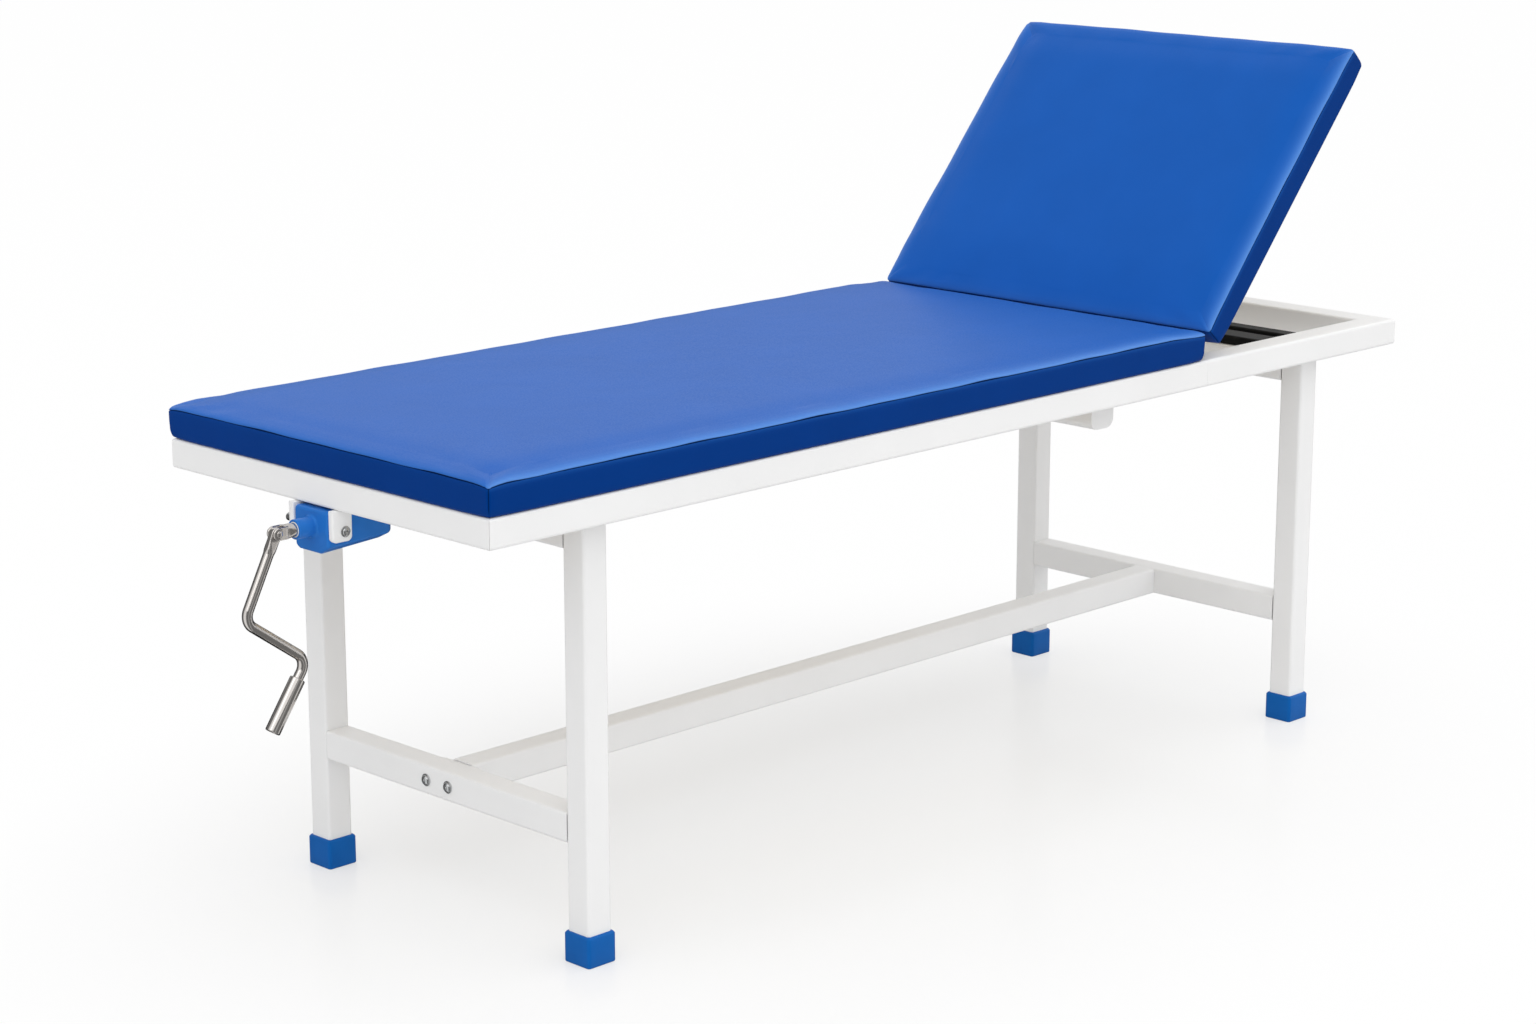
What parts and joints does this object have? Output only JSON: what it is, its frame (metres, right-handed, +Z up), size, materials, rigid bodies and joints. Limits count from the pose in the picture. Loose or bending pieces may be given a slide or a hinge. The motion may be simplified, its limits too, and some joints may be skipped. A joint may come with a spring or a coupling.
{
  "type": "examination table",
  "caption": "Examination table on a white tube frame, with a fixed vinyl seat pad and a hinged backrest that a folding hand crank raises through a screw and slotted lever.",
  "frame": {"origin": "on the floor, under the middle of the whole object including its crank", "axes": "+X along the table towards the head end, +Y across it towards the far side, +Z up"},
  "size_m": [1.9962, 0.652, 1.0647],
  "materials": {
    "white_powder_coat": "satin",
    "black_paint": "satin",
    "blue_vinyl": "satin",
    "blue_plastic": "satin",
    "light_blue_plastic": "satin",
    "white_plastic": "satin",
    "birch_plywood": "matte",
    "zinc_plate": "satin",
    "polished_stainless": "polished",
    "nut_bronze": "satin"
  },
  "bodies": {
    "frame": {"seat_rail_near": "white_powder_coat", "seat_rail_far": "white_powder_coat", "head_rail_near": "white_powder_coat", "head_rail_far": "white_powder_coat", "foot_end_rail": "white_powder_coat", "head_end_rail": "white_powder_coat", "foot_cross_rail": "white_powder_coat", "middle_cross_rail": "white_powder_coat", "tray_cross_rail": "white_powder_coat", "hinge_cross_rail": "white_powder_coat", "drive_tray": "white_powder_coat", "rest_bar_head": "black_paint", "rest_bar_inner": "black_paint", "leg_foot_near": "white_powder_coat", "leg_foot_far": "white_powder_coat", "leg_head_near": "white_powder_coat", "leg_head_far": "white_powder_coat", "foot_cap_foot_near": "blue_plastic", "foot_cap_foot_far": "blue_plastic", "foot_cap_head_near": "blue_plastic", "foot_cap_head_far": "blue_plastic", "top_crossbar_foot": "white_powder_coat", "top_crossbar_head": "white_powder_coat", "low_crossbar_foot": "white_powder_coat", "low_crossbar_head": "white_powder_coat", "stretcher": "white_powder_coat", "stretcher_end_plate": "white_powder_coat", "stretcher_bolt_near": "zinc_plate", "stretcher_bolt_far": "zinc_plate", "seat_board": "birch_plywood", "seat_pad": "blue_vinyl", "hinge_fixed_leaf_near": "zinc_plate", "hinge_fixed_leaf_far": "zinc_plate", "hinge_pin_near": "zinc_plate", "hinge_pin_far": "zinc_plate", "crank_ear_near": "white_powder_coat", "crank_ear_far": "white_powder_coat", "pivot_screw_near": "zinc_plate", "pivot_screw_far": "zinc_plate", "crank_housing": "light_blue_plastic", "collar_ring": "white_plastic"},
    "backrest": {"hinge_moving_leaf_near": "zinc_plate", "hinge_moving_leaf_far": "zinc_plate", "backrest_tube_hinge": "black_paint", "backrest_tube_head": "black_paint", "backrest_tube_near": "black_paint", "backrest_tube_far": "black_paint", "lift_lever": "black_paint", "backrest_board": "birch_plywood", "backrest_pad": "blue_vinyl"},
    "drive": {"drive_tube": "zinc_plate", "drive_nut": "nut_bronze", "drive_yoke": "zinc_plate", "drive_pin": "polished_stainless"},
    "crank_shaft": {"crank_shaft": "polished_stainless", "lead_screw": "zinc_plate", "fold_pin": "polished_stainless"},
    "crank_arm": {"crank_arm": "polished_stainless"},
    "crank_grip": {"crank_grip": "polished_stainless"}
  },
  "joints": [
    {"name": "backrest_tilt", "type": "hinge", "parent": "frame", "child": "backrest", "pos_m": [0.51542, 0, 0.658], "axis": [0, -1, 0], "range_deg": [-49, 21]},
    {"name": "drive_slide", "type": "slide", "parent": "frame", "child": "drive", "axis": [1, 0, 0], "range_m": [-0.0922, 0.0396]},
    {"name": "crank_turn", "type": "hinge", "parent": "frame", "child": "crank_shaft", "pos_m": [-0.88188, 0.018, 0.564], "axis": [1, 0, 0], "range_deg": [-5040.5, 2160.5]},
    {"name": "crank_fold", "type": "hinge", "parent": "crank_shaft", "child": "crank_arm", "pos_m": [-0.94318, 0.018, 0.564], "axis": [0, 1, 0], "range_deg": [-40, 62]},
    {"name": "grip_spin", "type": "hinge", "parent": "crank_arm", "child": "crank_grip", "pos_m": [-0.91682, 0.018, 0.36918], "axis": [-0.5664, 0, -0.8241], "continuous": true}
  ],
  "couplings": [
    {"joint": "drive_slide", "follows": "backrest_tilt", "m_per_rad": 0.10775},
    {"joint": "crank_turn", "follows": "backrest_tilt", "ratio": 102.86}
  ]
}
